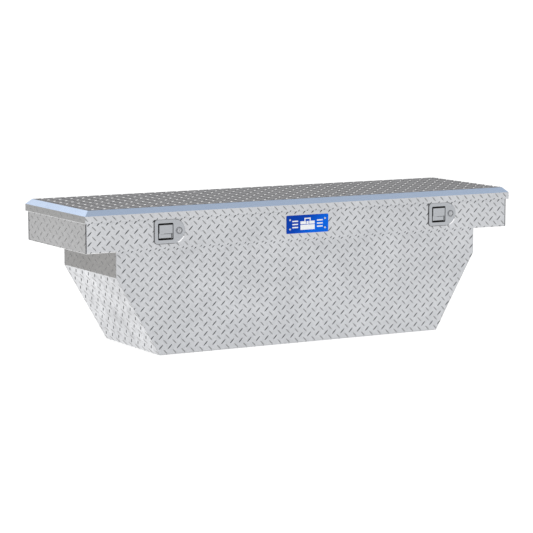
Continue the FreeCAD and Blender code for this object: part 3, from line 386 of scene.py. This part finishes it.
def inside_by(point, outline):
    """How far a point is inside a convex outline listed anticlockwise; negative outside."""
    least = 1e9
    for (ax, ay), (bx, by) in zip(outline, outline[1:] + outline[:1]):
        length = math.hypot(bx - ax, by - ay)
        least = min(least, ((bx - ax) * (point[1] - ay) - (by - ay) * (point[0] - ax)) / length)
    return least


# looks: the two bar materials, one per bar direction, which carry the painted shade and painted highlight of
# each direction.
def tread(name, body, origin, u, v, outline, phase=PHASE, holes=(), pitch=PITCH, size=(1, 1),
          looks=(BAR_DEEP_SHADE, BAR_SOFT_SHADE), tall=1):
    """Covers a convex outline, given in metres along u and v from origin, with the two-way bar pattern."""
    n = u.cross(v)
    verts, faces, kinds = [], [], []
    cut = bmesh.new()
    kind_of = cut.faces.layers.int.new("kind")
    us = [p[0] for p in outline]
    vs = [p[1] for p in outline]
    reach = BAR_LONG / 2 * max(size)
    s = math.sqrt(0.5)
    for kind in (0, 1):
        along = (s, s) if kind == 0 else (s, -s)
        off = 0.5 * kind
        i_low = math.floor((min(us) - reach) / pitch[0] - phase[0] - off)
        i_high = math.ceil((max(us) + reach) / pitch[0] - phase[0] - off)
        j_low = math.floor((min(vs) - reach) / pitch[1] - phase[1] - off)
        j_high = math.ceil((max(vs) + reach) / pitch[1] - phase[1] - off)
        for i in range(i_low, i_high + 1):
            for j in range(j_low, j_high + 1):
                centre = ((i + phase[0] + off) * pitch[0], (j + phase[1] + off) * pitch[1])
                depth = inside_by(centre, outline)
                if depth < -reach or any(hole(centre) for hole in holes):
                    continue
                place = []
                for x, y, z in BAR_VERTS:
                    x *= 1 - SHORTER * kind
                    a = centre[0] + size[0] * (x * along[0] - y * along[1])
                    b = centre[1] + size[1] * (x * along[1] + y * along[0])
                    place.append(origin + u * a + v * b + n * (z * tall))
                if depth > reach:
                    base = len(verts)
                    verts += place
                    faces += [[base + k for k in face] for face in BAR_FACES]
                    kinds += [kind] * len(BAR_FACES)
                else:
                    made = [cut.verts.new(p) for p in place]
                    for face in BAR_FACES:
                        cut.faces.new([made[k] for k in face])[kind_of] = kind
    for (ax, ay), (bx, by) in zip(outline, outline[1:] + outline[:1]):
        outward = (u * (by - ay) - v * (bx - ax)).normalized()
        whole = list(cut.verts) + list(cut.edges) + list(cut.faces)
        if not whole:
            break
        got = bmesh.ops.bisect_plane(cut, geom=whole, plane_co=origin + u * ax + v * ay, plane_no=outward,
                                     clear_outer=True, dist=1e-7)
        rim = [e for e in got["geom_cut"] if isinstance(e, bmesh.types.BMEdge)]
        bmesh.ops.edgenet_fill(cut, edges=rim)
    cut.verts.index_update()
    base = len(verts)
    verts += [vert.co.copy() for vert in cut.verts]
    faces += [[base + vert.index for vert in face.verts] for face in cut.faces]
    kinds += [face[kind_of] for face in cut.faces]
    cut.free()
    mesh = bpy.data.meshes.new(name)
    mesh.from_pydata([tuple(p) for p in verts], [], faces)
    mesh.materials.append(looks[0])
    mesh.materials.append(looks[1])
    mesh.polygons.foreach_set("material_index", kinds)
    # Each vertex's height above the face; the bar materials turn it into painted shade at the foot and
    # painted light at the crown.
    crown = mesh.attributes.new("crown", "FLOAT", "POINT")
    heights = [(p - origin).dot(n) / (BAR_HIGH * tall) for p in verts]
    crown.data.foreach_set("value", [max(0.0, min(1.0, height)) for height in heights])
    return finish_piece(name, mesh, body, 50)


def rectangle(u0, u1, v0, v1):
    return [(u0, v0), (u1, v0), (u1, v1), (u0, v1)]


def in_box(x0, x1, y0, y1):
    return lambda p: x0 < p[0] < x1 and y0 < p[1] < y1


def in_latch(side):
    """Under a latch plate: a rectangle with a round right end."""
    low, high = DISH_LOW[side], DISH_HIGH[side]
    radius = (high.z - low.z) / 2
    middle = (high.x - radius, (low.z + high.z) / 2)

    def test(p):
        if low.x + 4 * MM < p[0] < middle[0] and abs(p[1] - middle[1]) < radius - 4 * MM:
            return True
        return math.hypot(p[0] - middle[0], p[1] - middle[1]) < radius - 4 * MM

    return test


latches = [in_latch("left"), in_latch("right")]
under_badge = in_box(BADGE_LOW.x, BADGE_HIGH.x, BADGE_LOW.z, BADGE_HIGH.z)
band_out = rectangle(BAND_LOW.x, BAND_HIGH.x, BAND_LOW.z, BAND_HIGH.z)
tread("tread_upper_front", "tub", Vector((0, BAND_LOW.y, 0)), X, Z, band_out, holes=latches + [under_badge])
under_leaf = in_box(LEAF_LOW.x - 5 * MM, LEAF_HIGH.x + 5 * MM, LEAF_LOW.z - 3 * MM, LEAF_HIGH.z + 3 * MM)
tread("tread_upper_back", "tub", Vector((0, BAND_HIGH.y, 0)), -X, Z, band_out,
      holes=[lambda p: under_leaf((-p[0], p[1]))])
hexagon = [(-FLOOR_X, 0), (FLOOR_X, 0), (TUB_HIGH.x, KNEE_Z), (TUB_HIGH.x, LEDGE_Z),
           (TUB_LOW.x, LEDGE_Z), (TUB_LOW.x, KNEE_Z)]
tread("tread_lower_front", "tub", Vector((0, TUB_LOW.y, 0)), X, Z, hexagon)
tread("tread_lower_back", "tub", Vector((0, TUB_HIGH.y, 0)), -X, Z, hexagon)
slope = math.hypot(TUB_HIGH.x - FLOOR_X, KNEE_Z)
end_size = (1.2, 0.92)
for side, sign in (("left", -1), ("right", 1)):
    across = Y * sign
    start = END_PHASE if sign < 0 else 1 - END_PHASE
    wing = (BAND_LOW.x, TUB_LOW.x) if sign < 0 else (TUB_HIGH.x, BAND_HIGH.x)
    tread("tread_wing_end_" + side, "tub", Vector((BAND_HIGH.x * sign, 0, 0)), across, Z,
          rectangle(BAND_LOW.y, BAND_HIGH.y, BAND_LOW.z, BAND_HIGH.z), (start, 0.8), pitch=END_PITCH,
          size=end_size, looks=(BAR_DIM_SHADE, BAR_FAINT_SHADE))
    tread("tread_wing_under_" + side, "tub", Vector((0, 0, BAND_LOW.z)), X, -Y,
          rectangle(*wing, BAND_LOW.y, BAND_HIGH.y), (0.2, 0.1))
    tread("tread_riser_" + side, "tub", Vector((TUB_HIGH.x * sign, 0, 0)), across, Z,
          rectangle(TUB_LOW.y, TUB_HIGH.y, KNEE_Z, LEDGE_Z), (start, 0.8), pitch=END_PITCH, size=end_size,
          looks=(BAR_DIM_SHADE, BAR_FAINT_SHADE))
    up = Vector(((TUB_HIGH.x - FLOOR_X) * sign, 0, KNEE_Z)).normalized()
    tread("tread_slope_" + side, "tub", Vector((FLOOR_X * sign, 0, 0)), across, up,
          rectangle(TUB_LOW.y, TUB_HIGH.y, 0, slope), (start, 0.76), pitch=SLOPE_PITCH, size=(1.2, 1.1),
          looks=(BAR_DEEP_SHADE, BAR_FAINT_SHADE))
    tread("tread_skirt_" + side, "lid", Vector((LID_HIGH.x * sign, 0, 0)), across, Z,
          rectangle(LID_LOW.y, LID_HIGH.y, LID_LOW.z, BEVEL_Z), (start, 0.8), pitch=END_PITCH,
          size=end_size, looks=(BAR_FAINT_SHADE, BAR_FAINT_SHADE))
tread("tread_floor", "tub", Vector((0, 0, 0)), X, -Y, rectangle(-FLOOR_X, FLOOR_X, TUB_LOW.y, TUB_HIGH.y))
skirt_out = rectangle(LID_LOW.x, LID_HIGH.x, LID_LOW.z, BEVEL_Z)
tread("tread_skirt_front", "lid", Vector((0, LID_LOW.y, 0)), X, Z, skirt_out)
tread("tread_skirt_back", "lid", Vector((0, LID_HIGH.y, 0)), -X, Z, skirt_out)
tread("tread_lid_top", "lid", Vector((0, 0, LID_HIGH.z)), X, Y,
      rectangle(TOP_LOW.x, TOP_HIGH.x, TOP_LOW.y, TOP_HIGH.y),
      (0.7, 0.165), pitch=LID_PITCH, size=(1.2, 1.35), looks=(BAR_HIGHLIGHT, BAR_LID_SHADE), tall=1.5)

# ------------------------------------------------------------------ swept beads: hems (the end ones in a near-white painted highlight), welds and near-black corner beads of painted shadow

def unit(vector):
    return vector.normalized() if vector.length else Vector()


def bead(name, body, points, radius, material, ripple=0.0, step=0.0, sides=8):
    """A round bead along straight runs; ripple makes a row of weld scales."""
    path = []
    for a, b in zip(points, points[1:]):
        a, b = Vector(a), Vector(b)
        many = max(1, round((b - a).length / step)) if step else 1
        path += [a + (b - a) * (k / many) for k in range(many)]
    path.append(Vector(points[-1]))
    count = len(path)
    verts, faces = [], []
    for k, here in enumerate(path):
        d0 = here - path[max(k - 1, 0)]
        d1 = path[min(k + 1, count - 1)] - here
        direction = (unit(d0) + unit(d1)).normalized()
        side = direction.cross(Z) if abs(direction.z) < 0.9 else direction.cross(X)
        side.normalize()
        top = side.cross(direction)
        stretch = 1.0
        if d0.length and d1.length:
            stretch = 1 / max(0.5, math.cos(d0.angle(d1) / 2))
        r = radius * (1 + ripple * math.sin(k * 2.4)) if ripple else radius
        for m in range(sides):
            turn = 2 * math.pi * m / sides
            verts.append(here + side * (r * math.cos(turn) * stretch) + top * (r * math.sin(turn)))
    for k in range(count - 1):
        a, b = k * sides, (k + 1) * sides
        for m in range(sides):
            faces.append((a + m, a + (m + 1) % sides, b + (m + 1) % sides, b + m))
    faces.append(tuple(range(sides)))
    faces.append(tuple(range(count * sides - 1, (count - 1) * sides - 1, -1)))
    return piece(name, verts, faces, material, body, 50)


hem = 0.8 * MM
# The end hems take the near-white copy (painted highlight); the front and back hems keep the tread sheet.
for name, x0, x1, y0, y1, thick, look in (
        ("lid_hem_front", LID_LOW.x + hem, LID_HIGH.x - hem, LID_LOW.y + hem, LID_LOW.y + hem, 1.05, TREAD),
        ("lid_hem_back", LID_HIGH.x - hem, LID_LOW.x + hem, LID_HIGH.y - hem, LID_HIGH.y - hem, 1.05, TREAD),
        ("lid_hem_left", LID_LOW.x + hem, LID_LOW.x + hem, LID_HIGH.y - hem, LID_LOW.y + hem, 1.8, HEM_HIGHLIGHT),
        ("lid_hem_right", LID_HIGH.x - hem, LID_HIGH.x - hem, LID_LOW.y + hem, LID_HIGH.y - hem, 1.8, HEM_HIGHLIGHT)):
    bead(name, "lid", [(x0, y0, LID_LOW.z), (x1, y1, LID_LOW.z)], thick * MM, look, sides=10)
# Near-black beads down the wing's vertical corners: painted shadow in the corner gap.
for side, x in (("left", BAND_LOW.x), ("right", BAND_HIGH.x)):
    for end, y in (("front", BAND_LOW.y), ("back", BAND_HIGH.y)):
        inward_x = 0.6 * MM if side == "left" else -0.6 * MM
        inward_y = 0.6 * MM if end == "front" else -0.6 * MM
        bead("corner_seam_%s_%s" % (side, end), "tub", [
            (x + inward_x, y + inward_y, BAND_LOW.z + 1 * MM),
            (x + inward_x, y + inward_y, BAND_HIGH.z - 2 * MM)],
            1.9 * MM, SEAM_SHADOW, sides=12)
# Bead along each wing's lower edge in the near-white copy: painted highlight.
for side, x, reach in (("left", BAND_LOW.x, TUB_LOW.x), ("right", BAND_HIGH.x, TUB_HIGH.x)):
    inward = 0.7 * MM if side == "left" else -0.7 * MM
    front_y, rear_y = BAND_LOW.y + 0.7 * MM, BAND_HIGH.y - 0.7 * MM
    edge_z = BAND_LOW.z + 0.6 * MM
    bead("wing_edge_" + side, "tub", [
        (reach, front_y, edge_z), (x + inward, front_y, edge_z), (x + inward, rear_y, edge_z),
        (reach, rear_y, edge_z)], 1.5 * MM, HEM_HIGHLIGHT, sides=10)
for end, y in (("front", TUB_LOW.y), ("back", TUB_HIGH.y)):
    inward = 0.7 * MM if end == "front" else -0.7 * MM
    bead("tub_weld_" + end, "tub", [
        (TUB_LOW.x + 0.7 * MM, y + inward, LEDGE_Z - 2 * MM), (TUB_LOW.x + 0.7 * MM, y + inward, KNEE_Z),
        (-FLOOR_X + 0.7 * MM, y + inward, 1.0 * MM), (FLOOR_X - 0.7 * MM, y + inward, 1.0 * MM),
        (TUB_HIGH.x - 0.7 * MM, y + inward, KNEE_Z), (TUB_HIGH.x - 0.7 * MM, y + inward, LEDGE_Z - 2 * MM)],
        1.4 * MM, WELD, ripple=0.16, step=1.6 * MM)

# ------------------------------------------------------------------ badge marks: a generic tool box sign

FACE_Y = BADGE_LOW.y
MIDDLE = (BADGE_LOW + BADGE_HIGH) / 2


def flat_mark(name, outline, thick=0.25 * MM):
    """A thin raised plate in front of the badge; the outline is in mm from the badge's middle."""
    verts = []
    for y in (FACE_Y - thick, FACE_Y + 0.05 * MM):
        verts += [Vector((MIDDLE.x + x * MM, y, MIDDLE.z + z * MM)) for x, z in outline]
    many = len(outline)
    faces = [tuple(range(many)), tuple(range(2 * many - 1, many - 1, -1))]
    for k in range(many):
        faces.append((k, k + many, (k + 1) % many + many, (k + 1) % many))
    return piece(name, verts, faces, WHITE, "tub", 0)


MARKS = [
    ("mark_box_lower", -30, 30, -21, -3), ("mark_box_upper", -30, -7, -0.5, 10),
    ("mark_box_upper_right", 7, 30, -0.5, 10), ("mark_latch", -4.5, 4.5, -1.5, 10),
    ("mark_handle_left", -13, -9, 10.8, 18), ("mark_handle_right", 9, 13, 10.8, 18),
    ("mark_handle_top", -13, 13, 18, 22)]
for side, x0, x1 in (("left", -64, -40), ("right", 40, 64)):
    for number, z0, z1 in ((1, 9, 13.5), (2, -2.2, 2.2), (3, -13.5, -9)):
        MARKS.append(("mark_bar_%s_%d" % (side, number), x0, x1, z0, z1))
for name, x0, x1, z0, z1 in MARKS:
    flat_mark(name, rectangle(x0, x1, z0, z1))

# ------------------------------------------------------------------ latch details

ARC = 20  # steps round the plate's right end
CORNER = 12 * MM  # the plate's rounded left corners
FLANGE = 43 * MM  # from the plate's right end to where the trim ends
CUP_MIDDLE = 44 * MM  # from the plate's left edge to the paddle's middle
CUP_HALF = 31 * MM


def d_outline(side, grow):
    """The latch plate's outline from the front, grown outward: rounded left corners and a round right end."""
    low, high = DISH_LOW[side], DISH_HIGH[side]
    radius = (high.z - low.z) / 2
    mid_z = (low.z + high.z) / 2
    centre_x = high.x - radius
    points = []
    for cx, cz, r, start, stop in (
            (centre_x, mid_z, radius + grow, -90, 90),
            (low.x + CORNER, high.z - CORNER, CORNER + grow, 90, 180),
            (low.x + CORNER, low.z + CORNER, CORNER + grow, 180, 270)):
        many = ARC if stop == 90 else ARC // 3
        for k in range(many + 1):
            turn = math.radians(start + (stop - start) * k / many)
            points.append((cx + r * math.cos(turn), cz + r * math.sin(turn)))
    return points


def ring_plate(name, outer, inner, y_front, y_back, material, body):
    """A flat closed ring between two outlines with the same number of points."""
    many = len(outer)
    verts = []
    for y in (y_front, y_back):
        for outline in (outer, inner):
            verts += [(x, y, z) for x, z in outline]
    faces = []
    for k in range(many):
        n = (k + 1) % many
        faces.append((k, n, many + n, many + k))
        faces.append((2 * many + n, 2 * many + k, 3 * many + k, 3 * many + n))
        faces.append((n, k, 2 * many + k, 2 * many + n))
        faces.append((many + k, many + n, 3 * many + n, 3 * many + k))
    return piece(name, verts, faces, material, body, 40)


def turned(name, body, centre, profile, material, sides=40):
    """A closed ring turned about an axis along Y; the profile lists radius and y, both in metres."""
    verts, faces = [], []
    many = len(profile)
    for k in range(sides):
        turn = 2 * math.pi * k / sides
        verts += [(centre.x + r * math.cos(turn), y, centre.z + r * math.sin(turn)) for r, y in profile]
    for k in range(sides):
        for m in range(many):
            a, b = k * many, ((k + 1) % sides) * many
            n = (m + 1) % many
            faces.append((a + m, b + m, b + n, a + n))
    return piece(name, verts, faces, material, body, 40)


BLACK = plain("shadow_gap", (0.012, 0.012, 0.013), (0.008, 0.008, 0.008), 0.7)
# Near-black metal for the cup's inner walls, the paddle's sides and back and the paddle's step line: painted
# shade in the recess.
CUP_SHADE = metal("cup_painted_shade", (0.055, 0.055, 0.058), (0.03, 0.03, 0.032), 0.45, 0.1)
# Near-white metal for an edge bead on the plate's lower right only: painted highlight.
BRIGHT_HIGHLIGHT_EDGE = metal("polished_edge_painted_highlight", (0.98, 0.98, 0.99), (0.92, 0.92, 0.94),
               0.34, 0.06, (1, 1, 1), 400.0, 0.000004)
PLUG = metal("plug_face", (0.55, 0.56, 0.58), (0.42, 0.43, 0.45), 0.20, 0.1, (1, 1, 1), 600.0)
for side in ("left", "right"):
    face_y = DISH_LOW[side].y
    back_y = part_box(side + "_latch_gasket")[1].y
    # Rim round each latch plate and trim over its left part: a dark outline of painted shadow along the
    # plate's edge.
    ring_plate(side + "_latch_rim", d_outline(side, 1.1 * MM), d_outline(side, -1.0 * MM), back_y - 0.9 * MM,
               back_y - 0.02 * MM, GASKET_AND_SHADOW_GREY, "tub")
    outer, inner = d_outline(side, 1.0 * MM)[ARC:], d_outline(side, -0.9 * MM)[ARC:]
    flange = outer + [(DISH_HIGH[side].x - FLANGE, outer[-1][1])]
    inward = inner + [(DISH_HIGH[side].x - FLANGE, inner[-1][1])]
    trim = []
    many = len(flange)
    for y in (face_y - 0.35 * MM, back_y - 0.5 * MM):
        trim += [(x, y, z) for x, z in flange] + [(x, y, z) for x, z in inward]
    faces = []
    for k in range(many - 1):
        faces.append((k, k + 1, many + k + 1, many + k))
        faces.append((2 * many + k + 1, 2 * many + k, 3 * many + k, 3 * many + k + 1))
        faces.append((k + 1, k, 2 * many + k, 2 * many + k + 1))
        faces.append((many + k, many + k + 1, 3 * many + k + 1, 3 * many + k))
    faces.append((0, many, 3 * many, 2 * many))
    faces.append((2 * many - 1, many - 1, 3 * many - 1, 4 * many - 1))
    piece(side + "_latch_trim", trim, faces, GASKET_AND_SHADOW_GREY, "tub", 40)
    # Bead on the lower right of the plate's round end, in the near-white metal: painted highlight.
    low_arc = d_outline(side, -1.2 * MM)[2:9]
    bead(side + "_latch_edge", "tub", [(x, face_y + 0.1 * MM, z) for x, z in low_arc], 2.9 * MM, BRIGHT_HIGHLIGHT_EDGE,
         sides=10)
    housing_low, housing_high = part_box(side + "_lock_housing")
    lock = Vector(((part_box(side + "_lock_plug")[1].x - 6.5 * MM), 0, (housing_low.z + housing_high.z) / 2))
    front = housing_low.y
    groove = [(r * MM, front + y * MM) for r, y in ((10.2, -0.3), (11.2, -0.3), (11.2, 0.4), (10.2, 0.4))]
    turned(side + "_lock_groove", "tub", lock, groove, BLACK)
    collar = [(r * MM, front + y * MM)
              for r, y in ((7.0, -0.5), (8.6, -1.0), (10.0, -0.2), (10.0, 0.3), (7.0, 0.3))]
    turned(side + "_lock_collar", "tub", lock, collar, RING)
    # The dish's recessed faces take the near-black metal: painted shade in the cup.
    dish = frame["nodes"][side + "_latch_dish"].data
    dish.materials.append(CUP_SHADE)
    for face in dish.polygons:
        centre = face.center
        if centre.y > face_y + 1.9 * MM and abs(centre.x - (DISH_LOW[side].x + CUP_MIDDLE)) < CUP_HALF:
            face.material_index = 1
    # The paddle's side and back faces take the near-black metal: painted shade.
    paddle = frame["nodes"][side + "_paddle"].data
    paddle.materials.append(CUP_SHADE)
    for face in paddle.polygons:
        if face.normal.y > -0.5:
            face.material_index = 1
    plug = frame["nodes"][side + "_lock_plug"].data
    plug.materials.clear()
    plug.materials.append(PLUG)

# ------------------------------------------------------------------ paddle details

for side in ("left", "right"):
    low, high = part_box(side + "_paddle")
    middle_x = DISH_LOW[side].x + CUP_MIDDLE
    front = low.y

    def slab(name, x0, x1, z0, z1, thick, inset, material, body=side + "_paddle"):
        """A raised field with sloped sides on the paddle's face; x is from its middle."""
        foot = [(x, front + 0.05 * MM, z) for x, z in rectangle(x0, x1, z0, z1)]
        crown = [(x, front - thick * MM, z)
                 for x, z in rectangle(x0 + inset, x1 - inset, z0 + inset, z1 - inset)]
        verts = [Vector((middle_x + x * MM, y, z * MM)) for x, y, z in foot + crown]
        faces = [(3, 2, 1, 0), (4, 5, 6, 7), (0, 1, 5, 4), (1, 2, 6, 5), (2, 3, 7, 6), (3, 0, 4, 7)]
        return piece(name, verts, faces, material, body, 0)

    slab(side + "_paddle_step", -20, 21.5, 420.5, 434.5, 0.7, 0.7, STEEL)
    # The step line, the notch and the three edge strips are thin near-black plates on the paddle's face:
    # painted shadow along the step and in the gap between paddle and cup.
    slab(side + "_paddle_step_line", -6, 21.5, 434.7, 435.9, 0.12, 0.1, CUP_SHADE)
    slab(side + "_paddle_notch", 22.2, 26.0, 419.0, 437.0, 0.12, 0.1, BLACK)
    slab(side + "_paddle_edge_top", -26.3, 27.0, 465.9, 468.3, 0.15, 0.1, BLACK)
    slab(side + "_paddle_edge_left", -26.3, -24.3, 437.0, 465.8, 0.15, 0.1, BLACK)
    slab(side + "_paddle_edge_low", -26.3, 22.1, 418.2, 420.2, 0.15, 0.1, BLACK)

# ------------------------------------------------------------------ floor, light, camera

REACH = 300  # half the floor's width, in metres
mesh = bpy.data.meshes.new("floor")
mesh.from_pydata([(x, y, 0) for x, y in rectangle(-REACH, REACH, -REACH, REACH)], [], [(0, 1, 2, 3)])
ground = bpy.data.objects.new("studio_floor", mesh)
ground.location.z = -1.2 * MM
scene.collection.objects.link(ground)
pale, tree, bsdf = new_material("studio_pale")
bsdf.inputs["Base Color"].default_value = (0.45, 0.45, 0.45, 1)
bsdf.inputs["Roughness"].default_value = 0.9
bsdf.inputs["Specular IOR Level"].default_value = 0.1
bsdf.inputs["Emission Color"].default_value = (1, 1, 1, 1)
bsdf.inputs["Emission Strength"].default_value = 0.78
mesh.materials.append(pale)
ground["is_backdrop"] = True

SIDES, DOME_RADIUS, DOME_FOOT, DOME_WALL, DOME_TOP = 24, 60, -1, 40, 60
mesh = bpy.data.meshes.new("backdrop")
ring = [(DOME_RADIUS * math.cos(2 * math.pi * k / SIDES), DOME_RADIUS * math.sin(2 * math.pi * k / SIDES))
        for k in range(SIDES)]
walls = [(k, (k + 1) % SIDES, SIDES + (k + 1) % SIDES, SIDES + k) for k in range(SIDES)]
roof = [(SIDES + k, SIDES + (k + 1) % SIDES, 2 * SIDES) for k in range(SIDES)]
mesh.from_pydata([(x, y, z) for z in (DOME_FOOT, DOME_WALL) for x, y in ring] + [(0, 0, DOME_TOP)], [],
                 walls + roof)
dome = bpy.data.objects.new("studio_backdrop", mesh)
scene.collection.objects.link(dome)
white, tree, bsdf = new_material("studio_white")
bsdf.inputs["Base Color"].default_value = (0, 0, 0, 1)
bsdf.inputs["Emission Color"].default_value = (1, 1, 1, 1)
bsdf.inputs["Emission Strength"].default_value = 1.05
mesh.materials.append(white)
for rays in ("visible_diffuse", "visible_glossy", "visible_transmission", "visible_shadow",
             "visible_volume_scatter"):
    setattr(dome, rays, False)
dome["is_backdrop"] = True

world = bpy.data.worlds.new("studio")
scene.world = world
world.use_nodes = True
tree = world.node_tree
back = tree.nodes["Background"]
coords = tree.nodes.new("ShaderNodeTexCoord")
split = tree.nodes.new("ShaderNodeSeparateXYZ")
tree.links.new(coords.outputs["Generated"], split.inputs["Vector"])
sky = ramp(tree, split.outputs["Z"], [
    (0.0, (0.17,)), (0.20, (0.19,)), (0.32, (0.70,)), (0.42, (1.05,)), (0.62, (0.95,)), (0.80, (0.59,)),
    (1.0, (0.56,))])
lobe = tree.nodes.new("ShaderNodeVectorMath")
lobe.operation = "DOT_PRODUCT"
tree.links.new(coords.outputs["Generated"], lobe.inputs[0])
lobe.inputs[1].default_value = (0.49, -0.87, 0.0)
front = ramp(tree, lobe.outputs["Value"], [(0.30, (0.0,)), (0.75, (0.80,))])
band = ramp(tree, split.outputs["Z"], [(0.0, (1.0,)), (0.12, (1.0,)), (0.26, (0.12,)), (1.0, (0.12,))])
total = mix(tree, 1.0, sky, mix(tree, 1.0, front, band, "MULTIPLY"), "ADD")
tree.links.new(total, back.inputs["Color"])
back.inputs["Strength"].default_value = 1.0


def softbox(name, place, target, size, power):
    light = bpy.data.lights.new(name, "AREA")
    light.shape = "RECTANGLE"
    light.size, light.size_y = size
    light.energy = power
    made = bpy.data.objects.new(name, light)
    made.location = place
    made.rotation_euler = (Vector(target) - Vector(place)).to_track_quat("-Z", "Y").to_euler()
    scene.collection.objects.link(made)
    made.visible_camera = False
    return made


softbox("overhead", (-1.5, -3.5, 5.0), (0, 0, 0.3), (5, 4), 40)

CAMERA_PLACE = (-4.1245, -7.2098, 1.3410)
CAMERA_TURN = 29.61
CAMERA_TILT = 7.46
camera_data = bpy.data.cameras.new("camera")
camera_data.sensor_width = 36
camera_data.lens = 151.44
camera_data.clip_end = 500
camera = bpy.data.objects.new("camera", camera_data)
azimuth, elevation = math.radians(CAMERA_TURN), math.radians(CAMERA_TILT)
behind = Vector((-math.sin(azimuth) * math.cos(elevation), -math.cos(azimuth) * math.cos(elevation),
                 math.sin(elevation)))
camera.location = CAMERA_PLACE
camera_data.shift_x, camera_data.shift_y = -0.00075, 0.00056
camera.rotation_euler = (-behind).to_track_quat("-Z", "Y").to_euler()
scene.collection.objects.link(camera)
scene.camera = camera

low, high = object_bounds()
